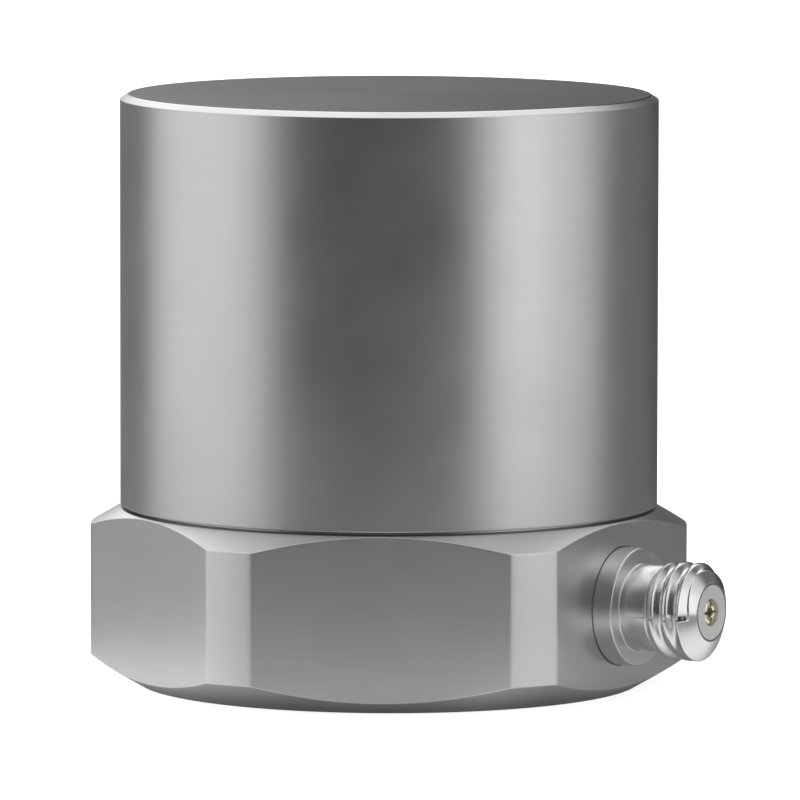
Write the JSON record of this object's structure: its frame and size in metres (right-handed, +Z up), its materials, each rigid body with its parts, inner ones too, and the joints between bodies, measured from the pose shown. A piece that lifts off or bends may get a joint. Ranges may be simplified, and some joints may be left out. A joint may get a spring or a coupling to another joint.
{
  "type": "vibration sensor",
  "caption": "Stud-mounted vibration sensor with a hexagonal stainless base, a round closed can and a coaxial socket at its side.",
  "frame": {"origin": "centre of the mounting face, at the mouth of the tapped hole", "axes": "+Z up along the case's axis from the mounting face to the can's top, +X along the coaxial socket, square to one flat of the hexagon, +Y to the right seen from the socket end"},
  "size_m": [0.0321, 0.0298, 0.0294],
  "materials": {
    "turned_stainless": "satin",
    "milled_stainless": "satin",
    "polished_stainless": "gloss",
    "ptfe": "satin",
    "gilt_bronze": "gloss",
    "fused_glass": "gloss",
    "alumina": "matte",
    "element_steel": "satin",
    "piezo_ceramic": "matte",
    "foil": "satin",
    "tungsten": "satin",
    "ring_alloy": "satin",
    "anodised_aluminium": "satin",
    "screw_steel": "satin",
    "board_laminate": "satin",
    "chip_ceramic": "satin",
    "chip_resistor": "satin",
    "capacitor_moulding": "satin",
    "shield_brass": "satin",
    "polyimide": "satin",
    "silicone": "matte",
    "bare_lead": "satin",
    "white_insulation": "satin",
    "black_insulation": "satin"
  },
  "bodies": {
    "root": {"base": "milled_stainless", "outer_can": "turned_stainless", "connector_shell": "polished_stainless", "connector_insulator": "ptfe", "connector_contact": "gilt_bronze", "connector_seal": "fused_glass", "insulating_disc": "alumina", "element_post": "element_steel", "piezo_plate_1": "piezo_ceramic", "piezo_plate_2": "piezo_ceramic", "piezo_plate_3": "piezo_ceramic", "contact_foil_1": "foil", "contact_foil_2": "foil", "contact_foil_3": "foil", "seismic_mass_1": "tungsten", "seismic_mass_2": "tungsten", "seismic_mass_3": "tungsten", "clamping_ring": "ring_alloy", "board_spacer": "anodised_aluminium", "board_screw": "screw_steel", "amplifier_board": "board_laminate", "amplifier_chip": "chip_ceramic", "board_resistor_1": "chip_resistor", "board_resistor_2": "chip_resistor", "board_resistor_3": "chip_resistor", "board_resistor_4": "chip_resistor", "board_capacitor_1": "capacitor_moulding", "board_capacitor_2": "capacitor_moulding", "shield_can": "shield_brass", "isolating_sleeve": "polyimide", "top_pad": "silicone", "charge_lead": "bare_lead", "signal_wire": "white_insulation", "ground_wire": "black_insulation"}
  },
  "joints": []
}
